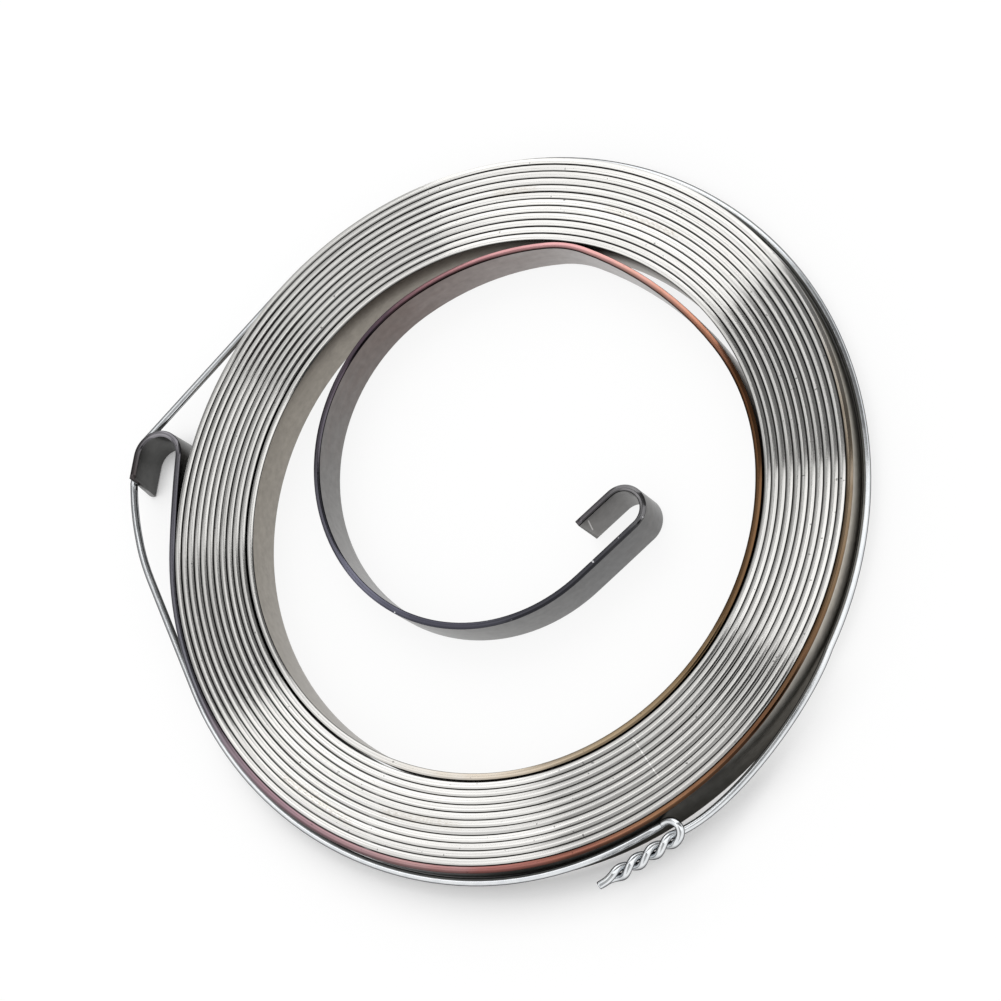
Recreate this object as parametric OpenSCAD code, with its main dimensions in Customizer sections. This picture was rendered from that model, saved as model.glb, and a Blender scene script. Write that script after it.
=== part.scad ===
// Coiled flat spring of a pull starter, wound tight and bound by a twisted retaining wire.
// It lies flat: the coil's axis is +Z through the origin and the lower strip edges rest on z = 0.

/* [Strip] */
// Thickness of the flat strip, whose edges are fully rounded, mm
strip_t = 0.58; // [0.5:0.02:0.62]
// Width of the flat strip, mm
strip_w = 4.1; // [3:0.1:6]
// Clear space between neighbouring turns, mm
turn_gap = 0.04; // [0.02:0.02:0.1]

/* [Coil] */
// Outer diameter of the first turn, mm
coil_d = 61.4; // [58:0.2:70]
// Full turns before the strip leaves the pack
turns = 12; // [9:1:13]

/* [Hooks] */
// Length of the lead-in from the coil to the outer hook, mm
shank_len = 8.2; // [7.6:0.1:9]
// Inside radius of the outer hook, mm
outer_hook_r = 1.8; // [1.2:0.1:2.2]
// Straight length of the outer hook's tip, mm
outer_tip_len = 2.2; // [1.6:0.1:3]
// Inside radius of the inner hook, mm
inner_hook_r = 1.5; // [1:0.1:2]
// Straight length of the inner hook's tip, mm
inner_tip_len = 3.1; // [2:0.1:4]

/* [Retaining wire] */
// Diameter of the wire, mm
wire_d = 0.66; // [0.5:0.02:0.8]
// Length of the twisted ends, mm
twist_len = 7; // [4.8:0.2:8]
// Length of one full turn of the twist, mm
twist_pitch = 3.2; // [3:0.1:4]

/* [Hidden] */

// Clear space between the wire and the strip, and between the two twisted strands.
wire_gap = 0.04;
strand_gap = 0.06;

// One turn brings the strip in by its thickness and the space between turns.
pitch = strip_t + turn_gap;
// The coil is a two-centre spiral: half turns, each half a pitch smaller than the last.
halves = 2 * turns + 1;
first_r = coil_d / 2 - strip_t / 2;
last_r = first_r - (halves - 1) * pitch / 2;
low_c = [-pitch / 4, 0];
high_c = [pitch / 4, 0];
mid_z = strip_w / 2;

function unit(a) = [cos(a), sin(a)];
function tidy(x) = round(x * 1000) / 1000;
function degrees_for(length, r) = tidy(length / r * 180 / PI);

// Stretches that look straight are bent to this large radius.
flat_r = 500;

// Inner end as tangent arcs, each a radius and the angle it turns through:
// a dip away from the pack, a kink that touches it again, a long sweep inwards and the hook.
tail_arcs = [
    [tidy(0.84 * last_r), 35],
    [tidy(1.4 * last_r), 27.5],
    [tidy(0.38 * last_r), 23.5],
    [tidy(1.03 * last_r), 32],
    [tidy(0.69 * last_r), 115],
    [tidy(0.63 * last_r), 74.5],
    [flat_r, degrees_for(0.277 * last_r, flat_r)],
    [inner_hook_r + strip_t / 2, 179],
    [flat_r, degrees_for(inner_tip_len, flat_r)]
];
tail_start = low_c + last_r * unit(0);
// Direction from each arc's centre to its start, and the centre that keeps it tangent to the arc before.
function tail_a(i) = i == 0 ? 0 : tail_a(i - 1) + tail_arcs[i - 1][1];
function tail_c(i) = i == 0
    ? tail_start - tail_arcs[0][0] * unit(0)
    : tail_c(i - 1) + (tail_arcs[i - 1][0] - tail_arcs[i][0]) * unit(tail_a(i));

// Outer end: a slightly bent lead-in, the hook's bend turned outwards and its tip.
shank_turn = 4.4;
shank_r = tidy(shank_len / (shank_turn * PI / 180));
shank_a = 180 - shank_turn;
shank_c = low_c + (shank_r - first_r) * unit(0);
hook_r = outer_hook_r + strip_t / 2;
hook_turn = 174;
hook_a = shank_a + 180;
hook_c = shank_c + (shank_r + hook_r) * unit(shank_a);
tip_a = hook_a + hook_turn - 360;
tip_c = hook_c + (hook_r - flat_r) * unit(tip_a);

// A move in a coarse and a fine step, so that neighbouring stretches meet face to face.
module place(v) {
    coarse = [for (x = v) round(x * 100) / 100];
    translate(coarse)
        translate(v - coarse)
            children();
}

// Section of the strip about its own middle.
module section() {
    square([strip_t, strip_w - strip_t], center = true);
    for (s = [-1, 1])
        translate([0, s * (strip_w - strip_t) / 2])
            circle(d = strip_t, $fn = 32);
}

// Stretches of strip bent about centre c, one for each radius, turning by angle turn from direction a.
module bent(c, radii, a, turn) {
    place([c.x, c.y, mid_z])
        rotate_extrude(start = a, angle = turn, $fn = 180)
            for (r = radii)
                translate([r, 0])
                    section();
}

module coil() {
    bent(low_c, [for (k = [0:2:halves - 1]) first_r - k * pitch / 2], 180, 180);
    bent(high_c, [for (k = [1:2:halves - 1]) first_r - k * pitch / 2], 0, 180);
}

module outer_hook() {
    bent(shank_c, [shank_r], shank_a, shank_turn);
    bent(hook_c, [hook_r], hook_a, hook_turn);
    bent(tip_c, [flat_r], tip_a, degrees_for(outer_tip_len, flat_r));
}

module inner_end() {
    for (i = [0:len(tail_arcs) - 1])
        bent(tail_c(i), [tail_arcs[i][0]], tail_a(i) % 360, tail_arcs[i][1]);
}

module spring_strip() {
    color([0.72, 0.71, 0.69]) {
        coil();
        outer_hook();
        inner_end();
    }
}

// The wire's middle line keeps this distance from the strip's middle line.
wire_off = strip_t / 2 + wire_gap + wire_d / 2;
wire_low_r = first_r + wire_off;
wire_high_r = first_r - pitch / 2 + wire_off;
wire_hook_r = hook_r + wire_off;
// The wire bends over the end of the hook's tip and eases round to the coil.
ease_turn = 14;
ease_a = tip_a + ease_turn;
ease_r = 0.85 * first_r;
tip_end = hook_c + wire_hook_r * unit(tip_a) + (outer_tip_len + wire_gap) * unit(tip_a + 90);
ease_c = tip_end - ease_r * unit(ease_a);

// Direction, seen from either centre, of the line that touches two circles on their outer side.
function touch_a(c1, r1, c2, r2, side) =
    let (d = c2 - c1)
    atan2(d.y, d.x) + side * acos((r1 - r2) / norm(d));
off_a = touch_a(high_c, wire_high_r, hook_c, wire_hook_r, -1);
on_a = touch_a(low_c, wire_low_r, ease_c, ease_r, 1);

// Height of the wire, as a share of the strip's width, round the coil by angle.
wire_rise = [
    [-40, 0.36], [40, 0.42], [132, 0.7],
    [150, 0.72], [170, 0.52], [205, 0.72],
    [250, 0.5], [266, 0.5], [290, 0.76]
];
function wire_z(a) = strip_w * lookup(a, wire_rise);
function on_arc(c, r, a) = [c.x + r * cos(a), c.y + r * sin(a), wire_z(a)];
function arc_points(c, r, from, to, by) =
    let (n = max(1, ceil(abs(to - from) / by)))
    [for (i = [0:n]) on_arc(c, r, from + (to - from) * i / n)];

// The twist lies along the coil, clear of the wire round it: its start, its axis, the way out from the coil, and up.
twist_a = 297;
twist_out = 2.3 * wire_d;
twist_at = concat(low_c + (wire_low_r + twist_out) * unit(twist_a), [wire_z(twist_a)]);
along = concat(unit(twist_a - 90), [0]);
out = concat(unit(twist_a), [0]);
up = [0, 0, 1];
strand_r = wire_d / 2 + strand_gap / 2;
// The strands wind for one and a half turns, slow down over this length and run out side by side.
wind_len = 1.5 * twist_pitch;
slow_len = 0.22 * twist_pitch;
function wound(s) =
    let (x = max(0, min(s - wind_len + slow_len, 2 * slow_len)))
    min(s, wind_len - slow_len) + x - x * x / (4 * slow_len);
function strand(phase, s) =
    let (a = phase - 360 * wound(s) / twist_pitch)
    twist_at + s * along + strand_r * (cos(a) * out + sin(a) * up);
strand_steps = 30;
function strand_points(phase) = [for (i = [0:strand_steps]) strand(phase, twist_len * i / strand_steps)];

// Points of a smooth curve between two ends, with a pull point for each.
function curve(p, q, r, s, n) = [for (i = [1:n - 1])
    let (t = i / n, u = 1 - t)
    u * u * u * p + 3 * u * u * t * q + 3 * u * t * t * r + t * t * t * s];

// One end turns back on itself, lifted over the other.
turn_from = 296.3;
turn_pull = 2.3 * wire_d;
turn_lift = 1.2 * wire_d;
turn_p = on_arc(low_c, wire_low_r, turn_from);
turn_back = curve(
    strand(0, 0),
    strand(0, 0) - turn_pull * along + turn_lift * up,
    turn_p + turn_pull * concat(unit(turn_from + 90), [0]) + turn_lift * up,
    turn_p, 14);
// The other end leaves the coil slowly and comes up beneath the loop.
lead_from = -28;
lead_lean = 6;
lead_off = 0.17 * first_r;
lead_run = 0.138 * first_r;
lead_side = 0.75 * wire_d;
lead_drop = 0.46 * strip_w;
lead_p = on_arc(low_c, wire_low_r, lead_from);
lead_in = curve(
    lead_p,
    lead_p + lead_off * concat(unit(lead_from - 90 + lead_lean), [0]),
    strand(180, 0) - lead_run * along + lead_side * out - lead_drop * up,
    strand(180, 0), 16);

function reversed(list) = [for (i = [len(list) - 1:-1:0]) list[i]];
wire_path = concat(
    reversed(strand_points(0)),
    turn_back,
    arc_points(low_c, wire_low_r, turn_from, on_a, 4),
    arc_points(ease_c, ease_r, on_a, ease_a, 4),
    arc_points(hook_c, wire_hook_r, tip_a, off_a, 8),
    arc_points(high_c, wire_high_r, off_a, 4, 4),
    arc_points(low_c, wire_low_r, 0, lead_from, 4),
    lead_in,
    strand_points(180)
);

// A round bar along a list of points that never runs straight up.
module bar(path, d, sides) {
    n = len(path);
    function way(i) =
        let (v = path[min(i + 1, n - 1)] - path[max(i - 1, 0)])
        v / norm(v);
    rings = [for (i = [0:n - 1])
        let (t = way(i), s = cross(t, up) / norm(cross(t, up)), b = cross(s, t))
        for (k = [0:sides - 1]) path[i] + d / 2 * (cos(360 * k / sides) * s + sin(360 * k / sides) * b)];
    skin = [for (i = [0:n - 2], k = [0:sides - 1])
        let (a = i * sides + k, b = i * sides + (k + 1) % sides)
        each [[a, b, b + sides], [a, b + sides, a + sides]]];
    first = [for (k = [sides - 1:-1:0]) k];
    last = [for (k = [0:sides - 1]) (n - 1) * sides + k];
    polyhedron(rings, concat(skin, [first, last]), convexity = 10);
}

module retaining_wire() {
    color([0.8, 0.8, 0.8])
        bar(wire_path, wire_d, 10);
}

spring_strip();
retaining_wire();
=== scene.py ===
import math
import random
import bpy
from mathutils import Matrix, Vector


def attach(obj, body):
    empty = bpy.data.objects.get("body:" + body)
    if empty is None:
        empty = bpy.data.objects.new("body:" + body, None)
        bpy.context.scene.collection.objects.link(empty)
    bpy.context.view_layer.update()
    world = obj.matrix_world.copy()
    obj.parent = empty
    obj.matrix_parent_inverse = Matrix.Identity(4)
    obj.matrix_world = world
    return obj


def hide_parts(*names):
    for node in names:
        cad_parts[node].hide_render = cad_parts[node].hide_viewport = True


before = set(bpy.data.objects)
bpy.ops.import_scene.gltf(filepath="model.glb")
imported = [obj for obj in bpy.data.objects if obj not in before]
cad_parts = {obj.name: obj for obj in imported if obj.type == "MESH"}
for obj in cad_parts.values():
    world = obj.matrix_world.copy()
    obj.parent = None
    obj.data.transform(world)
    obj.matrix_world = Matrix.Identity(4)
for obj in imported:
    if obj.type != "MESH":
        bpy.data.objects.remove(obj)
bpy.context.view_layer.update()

# Sizes, in millimetres as in the solids
MM = 0.001
STRIP_T = 0.58
STRIP_W = 4.1
TURN_GAP = 0.04
COIL_D = 61.4
TURNS = 12
SHANK_LEN = 8.2
SHANK_TURN = 4.4
OUTER_HOOK_R = 1.8
OUTER_HOOK_TURN = 174
OUTER_TIP_LEN = 2.2
INNER_HOOK_R = 1.5
INNER_TIP_LEN = 3.1
FLAT_R = 500
WIRE_D = 0.66
WIRE_GAP = 0.04
STRAND_GAP = 0.06
TWIST_LEN = 7.0
TWIST_PITCH = 3.2

# Fine forms that only the looks have: crowned edges, how they lean and lie lower, in degrees and millimetres
CORNER_R = 0.09
CROWN_SLOPE = 22
EDGE_LEAN = 3.5
EDGE_DROP = 0.03
# The innermost turn stands off the next one between these lengths from the inner tip
LAST_SHIFT = 0.12
LAST_FROM = 210
LAST_TO = 90
LAST_EASE = 22
# The outer tip's slanted cut, what it takes off the whole tip, and the inner tip's added length
TIP_SLANT = 0.55
TIP_TRIM = TIP_SLANT * 0.3
INNER_REACH = 0.5
# Length over which the wire's heights are evened out
WIRE_EVEN = 4.0

PITCH = STRIP_T + TURN_GAP
HALVES = 2 * TURNS + 1
FIRST_R = COIL_D / 2 - STRIP_T / 2
LAST_R = FIRST_R - (HALVES - 1) * PITCH / 2
LOW_C = Vector((-PITCH / 4, 0))
HIGH_C = Vector((PITCH / 4, 0))


def unit(a):
    return Vector((math.cos(math.radians(a)), math.sin(math.radians(a))))


def turn_for(length, r):
    return math.degrees(length / r)


# The strip's middle line: tangent arcs from the outer tip to the inner tip
SHANK_R = SHANK_LEN / math.radians(SHANK_TURN)
SHANK_A = 180 - SHANK_TURN
SHANK_C = LOW_C + (SHANK_R - FIRST_R) * unit(0)
HOOK_R = OUTER_HOOK_R + STRIP_T / 2
HOOK_C = SHANK_C + (SHANK_R + HOOK_R) * unit(SHANK_A)
TIP_A = SHANK_A + 180 + OUTER_HOOK_TURN - 360
TIP_C = HOOK_C + (HOOK_R - FLAT_R) * unit(TIP_A)
TAIL_ARCS = [
    (0.84 * LAST_R, 35),
    (1.4 * LAST_R, 27.5),
    (0.38 * LAST_R, 23.5),
    (1.03 * LAST_R, 32),
    (0.69 * LAST_R, 115),
    (0.63 * LAST_R, 74.5),
    (FLAT_R, turn_for(0.277 * LAST_R, FLAT_R)),
    (INNER_HOOK_R + STRIP_T / 2, 179),
    (FLAT_R, turn_for(INNER_TIP_LEN, FLAT_R)),
]


def strip_arcs():
    """Centre, radius, start angle, turn, steps and turns beside it, outside and inside, of every arc."""
    tip_turn = turn_for(OUTER_TIP_LEN, FLAT_R)
    arcs = [
        (TIP_C, FLAT_R, TIP_A + tip_turn, -tip_turn, 6, 0, 0),
        (HOOK_C, HOOK_R, TIP_A, -OUTER_HOOK_TURN, 40, 0, 0),
        (SHANK_C, SHANK_R, SHANK_A, SHANK_TURN, 12, 0, 0),
    ]
    for k in range(HALVES):
        low = k % 2 == 0
        centre = LOW_C if low else HIGH_C
        beside = (1 if k > 1 else 0, 1 if k < HALVES - 2 else 0)
        arcs.append((centre, FIRST_R - k * PITCH / 2, 180 if low else 0, 180, 90, *beside))
    point = LOW_C + LAST_R * unit(0)
    a = 0
    for r, turn in TAIL_ARCS:
        centre = point - r * unit(a)
        arcs.append((centre, r, a, turn, max(6, round(turn / 2.5)), 0, 0))
        a += turn
        point = centre + r * unit(a)
    return arcs


def strip_stations():
    """Point, outward side, length so far and turns beside it at each station along the strip."""
    stations = []
    run = 0
    for centre, r, a, turn, steps, outside, inside in strip_arcs():
        way = 1 if turn > 0 else -1
        for i in range(1 if stations else 0, steps + 1):
            out = unit(a + turn * i / steps)
            here = run + abs(math.radians(turn)) * r * i / steps
            stations.append((centre + r * out, way * out, here, outside, inside))
        run += abs(math.radians(turn)) * r
    return stations


def strip_section(crown_steps=6, corner_steps=4):
    """Side and height of each point round the section, with how far it faces along the coil's axis."""
    t, w = STRIP_T / 2, STRIP_W / 2
    crown_r = (t - CORNER_R) / math.sin(math.radians(CROWN_SLOPE)) + CORNER_R
    slopes = [90 - (90 - CROWN_SLOPE) * i / corner_steps for i in range(corner_steps)]
    slopes += [CROWN_SLOPE - CROWN_SLOPE * i / (crown_steps / 2) for i in range(crown_steps // 2)]
    slopes += [0] + [-a for a in reversed(slopes)]
    crown_drop = crown_r * (1 - math.cos(math.radians(CROWN_SLOPE)))
    corner_z = w - crown_drop - CORNER_R * math.cos(math.radians(CROWN_SLOPE))
    points = []
    for s in (1, -1):
        for slope in slopes:
            a = math.radians(slope)
            if abs(slope) <= CROWN_SLOPE:
                x, z = crown_r * math.sin(a), w - crown_r * (1 - math.cos(a))
            else:
                x = math.copysign(t - CORNER_R, a) + CORNER_R * math.sin(a)
                z = corner_z + CORNER_R * math.cos(a)
            points.append((s * x, s * z, math.cos(a)))
        points.append((-s * t, 0.0, 0.0))
    return points


def new_object(name, verts, faces, smooth=True):
    mesh = bpy.data.meshes.new(name)
    mesh.from_pydata([tuple(c * MM for c in v) for v in verts], [], faces)
    mesh.polygons.foreach_set("use_smooth", [smooth] * len(mesh.polygons))
    obj = bpy.data.objects.new(name, mesh)
    bpy.context.scene.collection.objects.link(obj)
    return obj


def add_values(obj, name, values):
    """One value at each point, for the material to read by name."""
    layer = obj.data.attributes.new(name, "FLOAT", "POINT")
    layer.data.foreach_set("value", values)


def rings_to_faces(rings, sides):
    """Faces of a bar made of rings of points, closed at both ends."""
    faces = []
    for i in range(rings - 1):
        for k in range(sides):
            a = i * sides + k
            b = i * sides + (k + 1) % sides
            faces.append((a, b, b + sides, a + sides))
    faces.append(tuple(range(sides - 1, -1, -1)))
    faces.append(tuple((rings - 1) * sides + k for k in range(sides)))
    return faces


def wander(seed, spacing, total):
    """Smooth chance values from -1 to 1 along the strip, a new one every spacing."""
    chance = random.Random(seed)
    marks = [chance.uniform(-1, 1) for _ in range(int(total / spacing) + 2)]

    def at(run):
        i = int(run / spacing)
        t = ease(run / spacing - i)
        return marks[i] * (1 - t) + marks[i + 1] * t
    return at


def ease(t):
    t = max(0, min(1, t))
    return t * t * (3 - 2 * t)


def last_turn_shift(left):
    """How far the innermost turn stands off the turn round it, by the length left to the inner tip."""
    return LAST_SHIFT * ease((LAST_FROM - left) / LAST_EASE) * ease((left - LAST_TO) / LAST_EASE)


def tip_cut(run, z):
    """How far a point of the outer hook's tip moves along it, as the end is cut at a slant."""
    return (TIP_SLANT * (0.5 - z / STRIP_W) + TIP_TRIM) * ease(1 - run / OUTER_TIP_LEN)


# Painted shade in the gap on a turn's outer side, as a share of that on its inner side
OUTER_GAP_SHADE = 0.35


def make_strip():
    """The strip, with values at each point for its material.

    They are the length from the outer tip and to the inner tip, how far the point faces along the coil's
    axis, how much painted shade the gap beside it gets, a place across the section, and how far inwards it
    lies.
    """
    stations = strip_stations()
    section = strip_section()
    total = stations[-1][2]
    lean_at = wander(seed=3, spacing=26, total=total)
    drop_at = wander(seed=5, spacing=34, total=total)
    tip_way = unit(TIP_A + 90)
    inner_way = (stations[-1][0] - stations[-2][0]).normalized()
    verts, runs, rises, gaps, across, inward = [], [], [], [], [], []
    for point, side, run, outside, inside in stations:
        lean = math.tan(math.radians(EDGE_LEAN * lean_at(run)))
        drop = EDGE_DROP * (1.05 + drop_at(run))
        for x, z, rise in section:
            p = point + side * (x - last_turn_shift(total - run))
            half = (z > 0) - (z < 0)
            z += half * (lean * x - drop)
            p += tip_way * tip_cut(run, STRIP_W / 2 + z)
            p += inner_way * INNER_REACH * ease(1 - (total - run) / INNER_TIP_LEN)
            verts.append((p.x, p.y, STRIP_W / 2 + z))
            runs.append(run)
            rises.append(rise)
            gaps.append(OUTER_GAP_SHADE * outside if x > 0 else inside)
            across.append(x + z)
            inward.append(-2 * x / STRIP_T)
    obj = new_object("spring_strip_coil", verts, rings_to_faces(len(stations), len(section)))
    add_values(obj, "run", runs)
    add_values(obj, "left", [total - r for r in runs])
    add_values(obj, "rise", rises)
    add_values(obj, "gap", gaps)
    add_values(obj, "across", across)
    add_values(obj, "inward", inward)
    return obj


# The wire's middle line, as in the solids
WIRE_OFF = STRIP_T / 2 + WIRE_GAP + WIRE_D / 2
WIRE_LOW_R = FIRST_R + WIRE_OFF
WIRE_HIGH_R = FIRST_R - PITCH / 2 + WIRE_OFF
WIRE_HOOK_R = HOOK_R + WIRE_OFF
EASE_TURN = 14
EASE_A = TIP_A + EASE_TURN
EASE_R = 0.85 * FIRST_R
TIP_END = HOOK_C + WIRE_HOOK_R * unit(TIP_A) + (OUTER_TIP_LEN + WIRE_GAP) * unit(TIP_A + 90)
EASE_C = TIP_END - EASE_R * unit(EASE_A)
# Height of the wire, as a share of the strip's width, by angle round the coil
WIRE_RISE = [
    (-40, 0.36), (40, 0.42), (132, 0.7),
    (150, 0.72), (170, 0.52), (205, 0.72),
    (250, 0.5), (266, 0.5), (290, 0.76),
]
UP = Vector((0, 0, 1))


def touch_angle(c1, r1, c2, r2, side):
    """Direction of the line that touches two circles on their outer side."""
    d = c2 - c1
    return math.degrees(math.atan2(d.y, d.x) + side * math.acos((r1 - r2) / d.length))


def wire_height(a):
    """Height of the wire on the coil at angle a, between the marks of the rise list."""
    if a <= WIRE_RISE[0][0]:
        return STRIP_W * WIRE_RISE[0][1]
    for (a0, h0), (a1, h1) in zip(WIRE_RISE, WIRE_RISE[1:]):
        if a <= a1:
            return STRIP_W * (h0 + (h1 - h0) * (a - a0) / (a1 - a0))
    return STRIP_W * WIRE_RISE[-1][1]


def on_arc(c, r, a):
    p = c + r * unit(a)
    return Vector((p.x, p.y, wire_height(a)))


def arc_points(c, r, start, end, by):
    n = max(1, math.ceil(abs(end - start) / by))
    return [on_arc(c, r, start + (end - start) * i / n) for i in range(n + 1)]


def bezier_points(p, q, r, s, n):
    points = []
    for i in range(1, n):
        t = i / n
        u = 1 - t
        points.append(u ** 3 * p + 3 * u * u * t * q + 3 * u * t * t * r + t ** 3 * s)
    return points


def wound(s):
    """Length over which the strands have turned: they wind evenly, slow down and run out side by side."""
    wind_len, slow_len = 1.8 * TWIST_PITCH, 0.22 * TWIST_PITCH
    x = max(0, min(s - wind_len + slow_len, 2 * slow_len))
    return min(s, wind_len - slow_len) + x - x * x / (4 * slow_len)


def even_heights(path, reach):
    """The path with its heights evened out over the reach, but for its ends."""
    runs = [0]
    for p, q in zip(path, path[1:]):
        runs.append(runs[-1] + (q - p).to_2d().length)
    evened = []
    for i, p in enumerate(path):
        share, height = 0, 0
        for j in range(1, len(path) - 1):
            near = max(0, 1 - abs(runs[j] - runs[i]) / reach) * (runs[j + 1] - runs[j - 1])
            share += near
            height += near * path[j].z
        inside = ease(min(runs[i], runs[-1] - runs[i]) / reach)
        evened.append(Vector((p.x, p.y, p.z + inside * (height / share - p.z))))
    return evened


def wire_points():
    off_a = touch_angle(HIGH_C, WIRE_HIGH_R, HOOK_C, WIRE_HOOK_R, -1)
    on_a = touch_angle(LOW_C, WIRE_LOW_R, EASE_C, EASE_R, 1)
    # The twisted ends lie along the coil
    twist_a, twist_out, steps = 297, 2.3 * WIRE_D, 60
    strand_r = WIRE_D / 2 + STRAND_GAP / 2
    along = unit(twist_a - 90).to_3d()
    out = unit(twist_a).to_3d()
    at = (LOW_C + (WIRE_LOW_R + twist_out) * unit(twist_a)).to_3d() + wire_height(twist_a) * UP

    def strand(phase, s):
        a = math.radians(phase - 360 * wound(s) / TWIST_PITCH)
        return at + s * along + strand_r * (math.cos(a) * out + math.sin(a) * UP)

    def strand_points(phase):
        return [strand(phase, TWIST_LEN * i / steps) for i in range(steps + 1)]

    # One end turns back on itself, lifted over the other
    turn_from, turn_pull, turn_lift = 296.3, 2.3 * WIRE_D, 1.2 * WIRE_D
    turn_p = on_arc(LOW_C, WIRE_LOW_R, turn_from)
    turn_back = bezier_points(
        strand(0, 0),
        strand(0, 0) - turn_pull * along + turn_lift * UP,
        turn_p + turn_pull * unit(turn_from + 90).to_3d() + turn_lift * UP,
        turn_p, 28)
    # The other end leaves the coil slowly and comes up beneath the loop
    lead_from, lead_lean = -28, 6
    lead_off, lead_run = 0.17 * FIRST_R, 0.138 * FIRST_R
    lead_side, lead_drop = 0.75 * WIRE_D, 0.46 * STRIP_W
    lead_p = on_arc(LOW_C, WIRE_LOW_R, lead_from)
    lead_in = bezier_points(
        lead_p,
        lead_p + lead_off * unit(lead_from - 90 + lead_lean).to_3d(),
        strand(180, 0) - lead_run * along + lead_side * out - lead_drop * UP,
        strand(180, 0), 32)
    around = (
        arc_points(LOW_C, WIRE_LOW_R, turn_from, on_a, 2)
        + arc_points(EASE_C, EASE_R, on_a, EASE_A, 2)
        + arc_points(HOOK_C, WIRE_HOOK_R, TIP_A, off_a, 4)
        + arc_points(HIGH_C, WIRE_HIGH_R, off_a, 2, 2)
        + arc_points(LOW_C, WIRE_LOW_R, 0, lead_from, 2)
    )
    return strand_points(0)[::-1] + turn_back + even_heights(around, WIRE_EVEN) + lead_in + strand_points(180)


def make_wire(sides=20):
    path = wire_points()
    verts = []
    for i, p in enumerate(path):
        way = (path[min(i + 1, len(path) - 1)] - path[max(i - 1, 0)]).normalized()
        side = way.cross(UP).normalized()
        top = side.cross(way)
        for k in range(sides):
            a = 2 * math.pi * k / sides
            verts.append(p + WIRE_D / 2 * (math.cos(a) * side + math.sin(a) * top))
    return new_object("retaining_wire_twisted", verts, rings_to_faces(len(path), sides))


# Materials
class Shader:
    """A material's nodes, with short ways to add and join them."""

    def __init__(self, name):
        self.material = bpy.data.materials.new(name)
        self.material.use_nodes = True
        self.nodes = self.material.node_tree.nodes
        self.links = self.material.node_tree.links
        self.bsdf = self.nodes["Principled BSDF"]

    def put(self, socket, value):
        if isinstance(value, bpy.types.NodeSocket):
            self.links.new(value, socket)
        else:
            socket.default_value = value

    def add(self, kind, inputs=None, **settings):
        node = self.nodes.new(kind)
        for key, value in settings.items():
            setattr(node, key, value)
        for key, value in (inputs or {}).items():
            self.put(node.inputs[key], value)
        return node

    def value(self, name):
        return self.add("ShaderNodeAttribute", attribute_name=name).outputs["Fac"]

    def math(self, operation, a, b=0.0):
        return self.add("ShaderNodeMath", {0: a, 1: b}, operation=operation).outputs[0]

    def scaled(self, value, low, high, to_low=0.0, to_high=1.0):
        inputs = {"Value": value, "From Min": low, "From Max": high, "To Min": to_low, "To Max": to_high}
        return self.add("ShaderNodeMapRange", inputs).outputs["Result"]

    def mix(self, share, a, b):
        node = self.add("ShaderNodeMix", data_type="RGBA")
        for socket, value in ((node.inputs[0], share), (node.inputs[6], a), (node.inputs[7], b)):
            self.put(socket, value)
        return node.outputs[2]

    def vector(self, x, y, z=0.0):
        return self.add("ShaderNodeCombineXYZ", {"X": x, "Y": y, "Z": z}).outputs["Vector"]

    def noise(self, vector, scale, detail=2.0):
        inputs = {"Vector": vector, "Scale": scale, "Detail": detail}
        return self.add("ShaderNodeTexNoise", inputs).outputs["Fac"]

    def scratch(self, u, v, start, end, width):
        """Share of a thin straight scratch between two points of the plane of u and v."""
        way = Vector(end) - Vector(start)
        length = way.length
        way.normalize()
        du, dv = self.math("SUBTRACT", u, start[0]), self.math("SUBTRACT", v, start[1])
        along = self.math("ADD", self.math("MULTIPLY", du, way.x), self.math("MULTIPLY", dv, way.y))
        off = self.math("SUBTRACT", self.math("MULTIPLY", du, way.y), self.math("MULTIPLY", dv, way.x))
        thin = self.scaled(self.math("ABSOLUTE", off), 0.4 * width, width, 1.0, 0.0)
        from_middle = self.math("ABSOLUTE", self.math("SUBTRACT", along, length / 2))
        return self.math("MULTIPLY", thin, self.scaled(from_middle, 0.4 * length, 0.5 * length, 1.0, 0.0))

    def ramp(self, value, stops):
        node = self.add("ShaderNodeValToRGB", {"Fac": value})
        elements = node.color_ramp.elements
        while len(elements) < len(stops):
            elements.new(0.5)
        for element, (position, colour) in zip(elements, stops):
            element.position = position
            element.color = (*colour, 1)
        return node.outputs["Color"]
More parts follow.
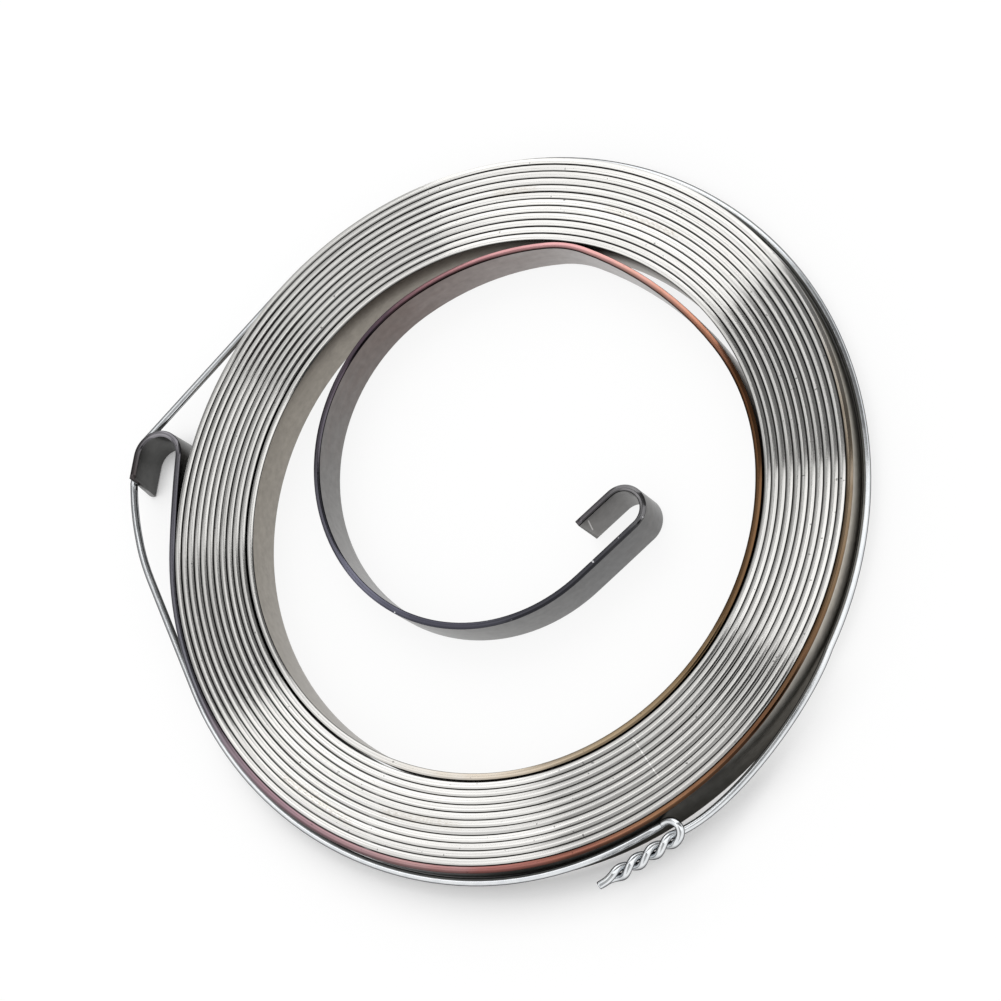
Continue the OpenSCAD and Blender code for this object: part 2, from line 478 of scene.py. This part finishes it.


# Colour by distance in millimetres from each strip end: heat tint on the edges, with a painted highlight on
# the bend of each hook; tints on the flats
HEAT_LEN = 250
OUTER_EDGE = [
    (0, (0.08, 0.07, 0.07)),
    (3, (0.10, 0.095, 0.10)),
    # Painted highlight on the crown of the outer hook's bend
    (5.5, (0.27, 0.26, 0.28)),
    (9, (0.17, 0.165, 0.18)),
    (14, (0.15, 0.145, 0.17)),
    (30, (0.22, 0.22, 0.25)),
    (42, (0.31, 0.21, 0.24)),
    (57, (0.36, 0.22, 0.22)),
    (64, (0.32, 0.13, 0.12)),
    (72, (0.34, 0.14, 0.10)),
    (79, (0.38, 0.20, 0.11)),
    (87, (0.23, 0.11, 0.06)),
    (101, (0.21, 0.13, 0.07)),
    (109, (0.28, 0.21, 0.14)),
    (118, (0.58, 0.51, 0.42)),
    (126, (0.80, 0.79, 0.765)),
]
INNER_EDGE = [
    (0, (0.13, 0.12, 0.13)),
    (3, (0.13, 0.125, 0.13)),
    # Painted highlight on the crown of the inner hook's bend
    (6, (0.24, 0.235, 0.24)),
    (9, (0.13, 0.13, 0.135)),
    (12, (0.08, 0.08, 0.09)),
    (30, (0.07, 0.07, 0.09)),
    (38, (0.17, 0.17, 0.22)),
    (47, (0.13, 0.125, 0.145)),
    (62, (0.10, 0.07, 0.09)),
    (72, (0.40, 0.20, 0.21)),
    (81, (0.62, 0.33, 0.33)),
    (88, (0.62, 0.34, 0.29)),
    (95, (0.50, 0.23, 0.15)),
    (103, (0.18, 0.08, 0.035)),
    (113, (0.22, 0.12, 0.06)),
    (121, (0.17, 0.10, 0.05)),
    (128, (0.33, 0.23, 0.13)),
    (136, (0.51, 0.39, 0.25)),
    (146, (0.64, 0.57, 0.48)),
    (158, (0.80, 0.79, 0.765)),
]
# On the outer side the flats are darkest up to about 84 mm from the outer end
OUTER_FLAT = [
    (0, (0.085, 0.085, 0.083)),
    (20, (0.11, 0.11, 0.105)),
    (52, (0.105, 0.105, 0.10)),
    (66, (0.105, 0.105, 0.10)),
    (84, (0.13, 0.127, 0.12)),
    (102, (0.25, 0.235, 0.21)),
    (120, (0.22, 0.21, 0.19)),
    (136, (0.12, 0.117, 0.11)),
    (220, (0.20, 0.185, 0.165)),
]
INNER_FLAT = [
    (0, (0.16, 0.155, 0.15)),
    (12, (0.15, 0.15, 0.15)),
    (38, (0.23, 0.225, 0.22)),
    (48, (0.19, 0.185, 0.18)),
    (64, (0.16, 0.13, 0.12)),
    (76, (0.26, 0.23, 0.22)),
    (86, (0.38, 0.36, 0.35)),
    (110, (0.20, 0.18, 0.16)),
    (150, (0.30, 0.28, 0.25)),
    (220, (0.26, 0.235, 0.20)),
]
# Painted glints, scratched edge and flat, dried stains, painted shade between turns, and painted shade on the
# wire's sides
GLINT = (0.7, 0.7, 0.72, 1)
BARE_EDGE = (0.93, 0.92, 0.9, 1)
BARE_FLAT = (0.5, 0.49, 0.48, 1)
STAIN = (0.40, 0.34, 0.25, 1)
GAP_SHADE = (0.012, 0.011, 0.01, 1)
WIRE_SIDE_SHADE = (0.09, 0.09, 0.095, 1)
WIRE_SHEEN = (0.25, 0.25, 0.25, 1)
# A scratch across some turns, from above: its ends and width
EDGE_SCRATCH = ((11.6, -20.8), (13.9, -24.4), 0.07)
# A scratch on the inner tip, by distance from its end and across the strip: its ends and width
TIP_SCRATCH = ((0.78, 1.4), (0.37, -0.63), 0.06)
# Bands of dried specks on the turns, from above: their width and ends
STAIN_WIDTH = 0.5
STAINS = [
    ((9.5, 24.8), (16.5, 20.9)),
    ((-19.9, -20.8), (-12.8, -25.8)),
    ((-10.7, -24.9), (-3.0, -26.8)),
    ((-0.5, 27.5), (3.8, 27.4)),
]


def strip_material():
    s = Shader("spring_steel_heat_tinted")
    run, left, rise = s.value("run"), s.value("left"), s.value("rise")
    gap, across, inward = s.value("gap"), s.value("across"), s.value("inward")
    place = s.add("ShaderNodeTexCoord").outputs["Object"]
    axes = s.add("ShaderNodeSeparateXYZ", {"Vector": place})
    x, y = (s.math("MULTIPLY", axes.outputs[axis], 1 / MM) for axis in ("X", "Y"))

    def along_strip(run_scale, across_scale, detail):
        """Noise laid along the strip, stretched by the two scales."""
        spot = s.vector(s.math("MULTIPLY", run, run_scale), s.math("MULTIPLY", across, across_scale))
        return s.noise(spot, 1.0, detail)

    grain = along_strip(0.1, 10.0, 4.0)
    blotch = along_strip(0.35, 1.0, 2.0)
    dried = along_strip(3.0, 16.0, 2.0)
    tone = s.noise(s.vector(s.math("MULTIPLY", run, 0.022), 3.0), 1.0, 3.0)
    mottle = s.noise(place, 1600.0, 5.0)
    speck = s.noise(place, 2600.0, 1.0)
    drift = s.scaled(blotch, 0.3, 0.7, -2.2, 2.2)
    edge = s.scaled(rise, 0.05, 0.4)
    nearer_inner = s.math("LESS_THAN", left, run)
    # Weight of the painted shade: full from y -17 mm back, least at the coil's front below y -24 mm
    painted_shade_weight = s.scaled(y, -24.0, -17.0)

    def tint(outer, inner):
        """Colour by distance from the nearer strip end, out of the two ramps."""
        ends = []
        for distance, stops in ((run, outer), (left, inner)):
            spot = s.scaled(s.math("ADD", distance, drift), 0, HEAT_LEN)
            ends.append(s.ramp(spot, [(mm / HEAT_LEN, colour) for mm, colour in stops]))
        return s.mix(nearer_inner, *ends)

    def times(colour, shade):
        shades = s.vector(shade, shade, shade)
        return s.add("ShaderNodeVectorMath", {0: colour, 1: shades}, operation="MULTIPLY").outputs["Vector"]

    # Edges: tint, grain, slow changes of tone and dark specks
    on_edge = times(tint(OUTER_EDGE, INNER_EDGE), s.scaled(grain, 0.3, 0.7, 0.78, 1.08))
    on_edge = times(on_edge, s.scaled(tone, 0.3, 0.7, 0.84, 1.1))
    on_edge = times(on_edge, s.scaled(speck, 0.76, 0.79, 1.0, 0.45))
    # Painted shade on the edges' corners, darker on the inner side, and less dark towards the coil's front
    dark_from = s.scaled(inward, -0.1, 0.1, 0.88, 0.955)
    dark_to = s.scaled(inward, -0.1, 0.1, 0.5, 0.84)
    corner = s.scaled(inward, -0.1, 0.1, 0.6, 0.1)
    corner = s.math("MAXIMUM", corner, s.scaled(painted_shade_weight, 0.0, 1.0, 0.45, 0.0))
    on_edge = times(on_edge, s.scaled(rise, dark_to, dark_from, corner, 1.0))
    # Red stretches near both ends, with painted light and shade across the edge: near the inner end darker
    # towards its inner side, near the outer end towards its outer side
    inner_end_edge_shading = s.scaled(left, 104, 116, s.scaled(inward, -0.3, 0.85, 1.18, 0.04), 1.0)
    on_edge = times(on_edge, s.scaled(left, 55, 68, 1.0, inner_end_edge_shading))
    outer_end_edge_shading = s.scaled(run, 92, 104, s.scaled(inward, -0.85, 0.2, 0.4, 1.05), 1.0)
    on_edge = times(on_edge, s.scaled(run, 36, 46, 1.0, outer_end_edge_shading))
    # Glints on the dark inner end, the scratch and the stains
    glint = s.math("MULTIPLY", s.scaled(speck, 0.22, 0.25, 1.0, 0.0), s.scaled(left, 50, 60, 1.0, 0.0))
    on_edge = s.mix(glint, on_edge, GLINT)
    on_edge = s.mix(s.scratch(x, y, *EDGE_SCRATCH), on_edge, BARE_EDGE)
    spots = s.scaled(dried, 0.4, 0.7, 0.0, 0.5)
    for start, end in STAINS:
        stain = s.math("MULTIPLY", spots, s.scratch(x, y, start, end, STAIN_WIDTH))
        on_edge = s.mix(stain, on_edge, STAIN)
    # Flats: tint and mottle, painted light near the top of the first turn's outer wall, and the tip's scratch
    on_flat = times(tint(OUTER_FLAT, INNER_FLAT), s.scaled(mottle, 0.3, 0.7, 0.9, 1.1))
    painted_top_light = s.scaled(run, 84, 98, 1.0, s.scaled(across, 0.9, 2.1, 0.9, 2.6))
    on_flat = times(on_flat, s.scaled(run, 124, 140, painted_top_light, 1.0))
    on_flat = s.mix(s.scratch(left, across, *TIP_SCRATCH), on_flat, BARE_FLAT)
    # Painted shade in the gaps between turns, halved towards the coil's front
    line = s.math("ADD", rise, s.scaled(tone, 0.3, 0.7, 0.14, -0.16))
    line = s.math("SUBTRACT", line, s.scaled(gap, OUTER_GAP_SHADE, 1.0, 0.0, 0.12))
    gap_shade = s.math("MULTIPLY", gap, s.scaled(line, 0.35, 0.7, 1.0, 0.0))
    gap_shade = s.math("MULTIPLY", gap_shade, s.scaled(painted_shade_weight, 0.0, 1.0, 0.5, 1.0))
    # Edges over the flats, then the painted shade of the gaps over both
    colour = s.mix(edge, on_flat, on_edge)
    s.put(s.bsdf.inputs["Base Color"], s.mix(gap_shade, colour, GAP_SHADE))
    s.put(s.bsdf.inputs["Metallic"], 1.0)
    # The outer wall mirrors little at a shallow angle, and the flats are duller than the edges
    sheen = s.math("MAXIMUM", s.scaled(run, 50, 66, 1.0, 0.25), s.scaled(run, 132, 200, 0.25, 1.0))
    s.put(s.bsdf.inputs["Specular Tint"], s.vector(sheen, sheen, sheen))
    rough = s.scaled(grain, 0.3, 0.75, 0.07, 0.16)
    s.put(s.bsdf.inputs["Roughness"], s.math("ADD", rough, s.scaled(edge, 0, 1, 0.22, 0.0)))
    return s.material


def wire_material():
    s = Shader("drawn_wire")
    place = s.add("ShaderNodeTexCoord").outputs["Object"]
    speckle = s.noise(place, 900.0, 2.0)
    zinc = s.ramp(speckle, [(0.3, (0.74, 0.765, 0.79)), (0.65, (0.84, 0.86, 0.875))])
    # Painted shade: the wire is darker at its sides, where it turns away from the view
    side = s.add("ShaderNodeLayerWeight", {"Blend": 0.5}).outputs["Facing"]
    s.put(s.bsdf.inputs["Base Color"], s.mix(s.scaled(side, 0.25, 0.65), zinc, WIRE_SIDE_SHADE))
    s.put(s.bsdf.inputs["Specular Tint"], WIRE_SHEEN)
    s.put(s.bsdf.inputs["Metallic"], 1.0)
    s.put(s.bsdf.inputs["Roughness"], s.scaled(speckle, 0.3, 0.7, 0.15, 0.2))
    return s.material


strip = make_strip()
wire = make_wire()
for piece, node, slot, material in (
    (strip, "spring_strip", "spring_steel", strip_material()),
    (wire, "retaining_wire", "binding_wire", wire_material()),
):
    piece.data.materials.append(material)
    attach(piece, "root")
    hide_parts(node)


# Camera, placed from the photograph
CAMERA_AT = Vector((101.17, -78.65, 234.08))
CAMERA_TO = Vector((0.3125, 0.1843, 4.1))
CAMERA_UP = Vector((0.1209, 0.9541, 0.2740))
VIEW = (CAMERA_AT - CAMERA_TO).normalized()
LENS_PIXELS = 3200
IMAGE_PIXELS = 1001


# Stage: a pale floor, a white surround and cards
def white_to_the_eye(tree, other, share):
    """A shader that is in part plain white for camera, glossy and transmission rays, and else another."""
    rays = tree.nodes.new("ShaderNodeLightPath").outputs
    seen = rays["Is Camera Ray"]
    for ray in ("Is Glossy Ray", "Is Transmission Ray"):
        most = tree.nodes.new("ShaderNodeMath")
        most.operation = "MAXIMUM"
        tree.links.new(seen, most.inputs[0])
        tree.links.new(rays[ray], most.inputs[1])
        seen = most.outputs[0]
    part = tree.nodes.new("ShaderNodeMath")
    part.operation = "MULTIPLY"
    tree.links.new(seen, part.inputs[0])
    if isinstance(share, bpy.types.NodeSocket):
        tree.links.new(share, part.inputs[1])
    else:
        part.inputs[1].default_value = share
    white = tree.nodes.new("ShaderNodeEmission")
    white.inputs["Strength"].default_value = 1.0
    mix = tree.nodes.new("ShaderNodeMixShader")
    tree.links.new(part.outputs[0], mix.inputs[0])
    tree.links.new(other, mix.inputs[1])
    tree.links.new(white.outputs[0], mix.inputs[2])
    return mix.outputs[0]


def make_floor(half=3000, below=0.02):
    """A pale floor, half a side long each way and just below the coil, that keeps the coil's shadow."""
    corners = [(x * half, y * half, 0) for x, y in ((-1, -1), (1, -1), (1, 1), (-1, 1))]
    floor = new_object("floor", corners, [(0, 1, 2, 3)])
    floor.location.z = -below * MM
    s = Shader("pale_floor")
    s.put(s.bsdf.inputs["Base Color"], (0.97, 0.97, 0.97, 1))
    s.put(s.bsdf.inputs["Roughness"], 1.0)
    s.put(s.bsdf.inputs["Specular IOR Level"], 0.0)
    tree = s.material.node_tree
    open_sky = s.add("ShaderNodeAmbientOcclusion", {"Distance": 2.2 * MM}, samples=8).outputs["AO"]
    place = s.add("ShaderNodeTexCoord").outputs["Object"]
    radius = s.add("ShaderNodeVectorMath", {0: place}, operation="LENGTH").outputs["Value"]
    rim = COIL_D / 2 * MM
    axes = s.add("ShaderNodeSeparateXYZ", {"Vector": place}).outputs
    # Share of plain white: less in tight places and in the shadow in front, more on the right
    tight = s.scaled(axes["X"], 0.4 * rim, 0.8 * rim, 0.15, 0.7)
    open_floor = s.scaled(axes["X"], 0.4 * rim, 0.8 * rim, 0.8, 0.88)
    in_front = s.scaled(axes["Y"], -0.5 * rim, -0.8 * rim)
    shaded = s.math("MULTIPLY", in_front, s.scaled(radius, 1.04 * rim, 1.16 * rim, 1.0, 0.0))
    open_floor = s.scaled(shaded, 0.0, 1.0, open_floor, 0.2)
    outside = s.scaled(open_sky, 0.35, 0.95, tight, open_floor)
    share = s.scaled(radius, 0.97 * rim, 1.01 * rim, 0.86, outside)
    look = white_to_the_eye(tree, s.bsdf.outputs[0], share)
    tree.links.new(look, tree.nodes["Material Output"].inputs[0])
    floor.data.materials.append(s.material)


def make_world(level):
    world = bpy.data.worlds.new("studio")
    world.use_nodes = True
    tree = world.node_tree
    sky = tree.nodes["Background"]
    sky.inputs["Color"].default_value = (1, 1, 1, 1)
    sky.inputs["Strength"].default_value = level
    tree.links.new(white_to_the_eye(tree, sky.outputs[0], 1.0), tree.nodes["World Output"].inputs[0])
    bpy.context.scene.world = world


def make_card(name, verts, cols, level):
    """A glowing card that only reflections see, as rows of points with cols faces each."""
    width = cols + 1
    faces = [
        (j * width + i, j * width + i + 1, (j + 1) * width + i + 1, (j + 1) * width + i)
        for j in range(len(verts) // width - 1) for i in range(cols)
    ]
    card = new_object(name, verts, faces)
    card.visible_camera = False
    card.visible_diffuse = False
    card.visible_shadow = False
    material = bpy.data.materials.new(name)
    material.use_nodes = True
    tree = material.node_tree
    tree.nodes.remove(tree.nodes["Principled BSDF"])
    glow = tree.nodes.new("ShaderNodeEmission")
    glow.inputs["Color"].default_value = (*level, 1)
    tree.links.new(glow.outputs[0], tree.nodes["Material Output"].inputs[0])
    card.data.materials.append(material)


def make_wedge(name, turn, reach, level, radius=1300):
    """A dome patch that edges mirror where they lean towards the angles of turn, by a lean within reach."""
    cols, rows = 8, 8
    verts = []
    for j in range(rows + 1):
        for i in range(cols + 1):
            lean = reach[0] + (reach[1] - reach[0]) * j / rows
            flat = lean * unit(turn[0] + (turn[1] - turn[0]) * i / cols) - VIEW.to_2d()
            flat *= min(1, 0.99 / flat.length)
            verts.append(radius * Vector((flat.x, flat.y, math.sqrt(1 - flat.length_squared))))
    make_card(name, verts, cols, level)


def make_softbox(azimuth, polar, size, level, distance=1100):
    """A square area lamp of the given brightness, turned to the object, for the floor and the shadow."""
    lamp = bpy.data.lights.new("softbox", "AREA")
    lamp.size = size * MM
    lamp.energy = level * math.pi * lamp.size ** 2
    box = bpy.data.objects.new("softbox", lamp)
    flat = unit(azimuth) * math.sin(math.radians(polar))
    way = Vector((flat.x, flat.y, math.cos(math.radians(polar))))
    box.location = way * distance * MM
    box.rotation_euler = way.to_track_quat("Z", "Y").to_euler()
    box.visible_glossy = False
    bpy.context.scene.collection.objects.link(box)


make_floor()
make_world(level=0.9)
make_softbox(azimuth=115, polar=46, size=950, level=1.45)
# Angles mirrored, lean from and to, and brightness of each patch
for number, (turn, reach, level) in enumerate((
    ((0, 34), (0.05, 1.4), 0.17),
    ((34, 100), (0.0, 1.2), 1.4),
    ((100, 149), (0.0, 0.35), 0.82),
    ((100, 149), (0.35, 0.8), 0.5),
    ((149, 181), (0.0, 0.3), 0.48),
    ((149, 181), (0.3, 0.9), 0.26),
    ((181, 214), (0.0, 0.4), 0.85),
    ((181, 214), (0.4, 0.9), 0.4),
    ((214, 280), (0.0, 0.45), 1.35),
    ((214, 280), (0.45, 1.2), 0.95),
    ((280, 315), (0.0, 0.1), 0.8),
    ((280, 328), (0.1, 0.26), 1.2),
    ((280, 315), (0.26, 0.42), 0.7),
    ((280, 315), (0.42, 1.3), 0.44),
    ((315, 328), (0.0, 0.1), 0.7),
    ((315, 328), (0.26, 0.32), 0.6),
    ((315, 328), (0.32, 0.85), 0.02),
    ((315, 328), (0.85, 1.3), 0.4),
    ((328, 360), (0.0, 0.2), 0.5),
    ((328, 360), (0.2, 1.4), 1.25),
)):
    make_wedge(f"card_{number}", turn, reach, (level, level, level))


def make_camera():
    lens = bpy.data.cameras.new("camera")
    lens.sensor_width = 36
    lens.lens = lens.sensor_width * LENS_PIXELS / IMAGE_PIXELS
    lens.clip_start = 0.01
    right = CAMERA_UP.cross(VIEW).normalized()
    turn = Matrix((right, VIEW.cross(right), VIEW)).transposed()
    camera = bpy.data.objects.new("camera", lens)
    camera.matrix_world = Matrix.Translation(CAMERA_AT * MM) @ turn.to_4x4()
    bpy.context.scene.collection.objects.link(camera)
    bpy.context.scene.camera = camera


make_camera()
bpy.context.scene.view_settings.view_transform = "Standard"
